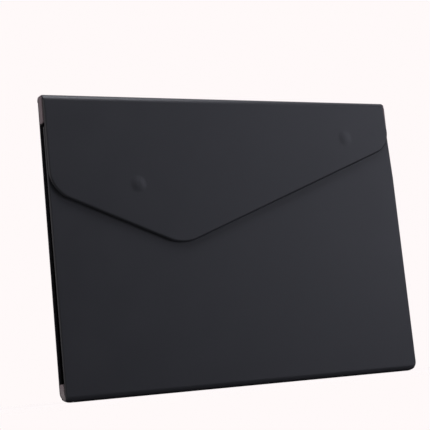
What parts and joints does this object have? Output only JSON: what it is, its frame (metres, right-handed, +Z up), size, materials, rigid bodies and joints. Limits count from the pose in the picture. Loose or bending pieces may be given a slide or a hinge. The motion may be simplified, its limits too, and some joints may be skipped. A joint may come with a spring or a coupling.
{
  "type": "document wallet",
  "caption": "Slim upright document wallet for A4 paper with a full-width angled flap, hidden magnet closure, side gussets and rounded top and bottom folds.",
  "frame": {"origin": "middle of the closed wallet's box, on the surface it stands on", "axes": "+X from left to right across the front, +Y from the front to the back, +Z up; the flap faces -Y"},
  "size_m": [0.335, 0.0133, 0.245],
  "materials": {
    "skin": "smooth satin charcoal",
    "tab": "paler napped reverse of the skin",
    "lining": "fine matt weave",
    "board": "grey-brown stiffener board",
    "gusset_cloth": "black binding cloth",
    "magnet": "nickel plated",
    "keeper": "plain mild steel"
  },
  "bodies": {
    "back": {"back_skin": "skin", "back_board": "board", "back_lining": "lining", "bottom_skin": "skin", "bottom_board": "board", "left_bottom_ear": "tab", "right_bottom_ear": "tab", "left_gusset": "gusset_cloth", "right_gusset": "gusset_cloth", "top_rear_fold": "skin"},
    "front": {"front_skin": "skin", "front_board": "board", "front_lining": "lining", "left_keeper": "keeper", "right_keeper": "keeper"},
    "spine": {"top_spine": "skin", "left_top_ear": "tab", "right_top_ear": "tab", "top_front_fold": "skin"},
    "flap": {"flap_skin": "skin", "flap_board": "board", "flap_lining": "lining", "left_magnet": "magnet", "right_magnet": "magnet"}
  },
  "joints": [
    {"name": "top_fold", "type": "hinge", "parent": "back", "child": "spine", "pos_m": [0, 0.00517, 0.24349], "axis": [-1, 0, 0], "range_deg": [0, 90], "deforming": ["top_rear_fold"]},
    {"name": "flap_fold", "type": "hinge", "parent": "spine", "child": "flap", "pos_m": [0, -0.00344, 0.24371], "axis": [-1, 0, 0], "range_deg": [0, 180], "deforming": ["top_front_fold"]},
    {"name": "mouth", "type": "hinge", "parent": "back", "child": "front", "pos_m": [0, -0.00633, 0.0026], "axis": [1, 0, 0], "range_deg": [0, 5], "deforming": ["left_gusset", "right_gusset"]}
  ],
  "couplings": [
    {"joint": "mouth", "follows": "top_fold", "ratio": 0.055556}
  ]
}
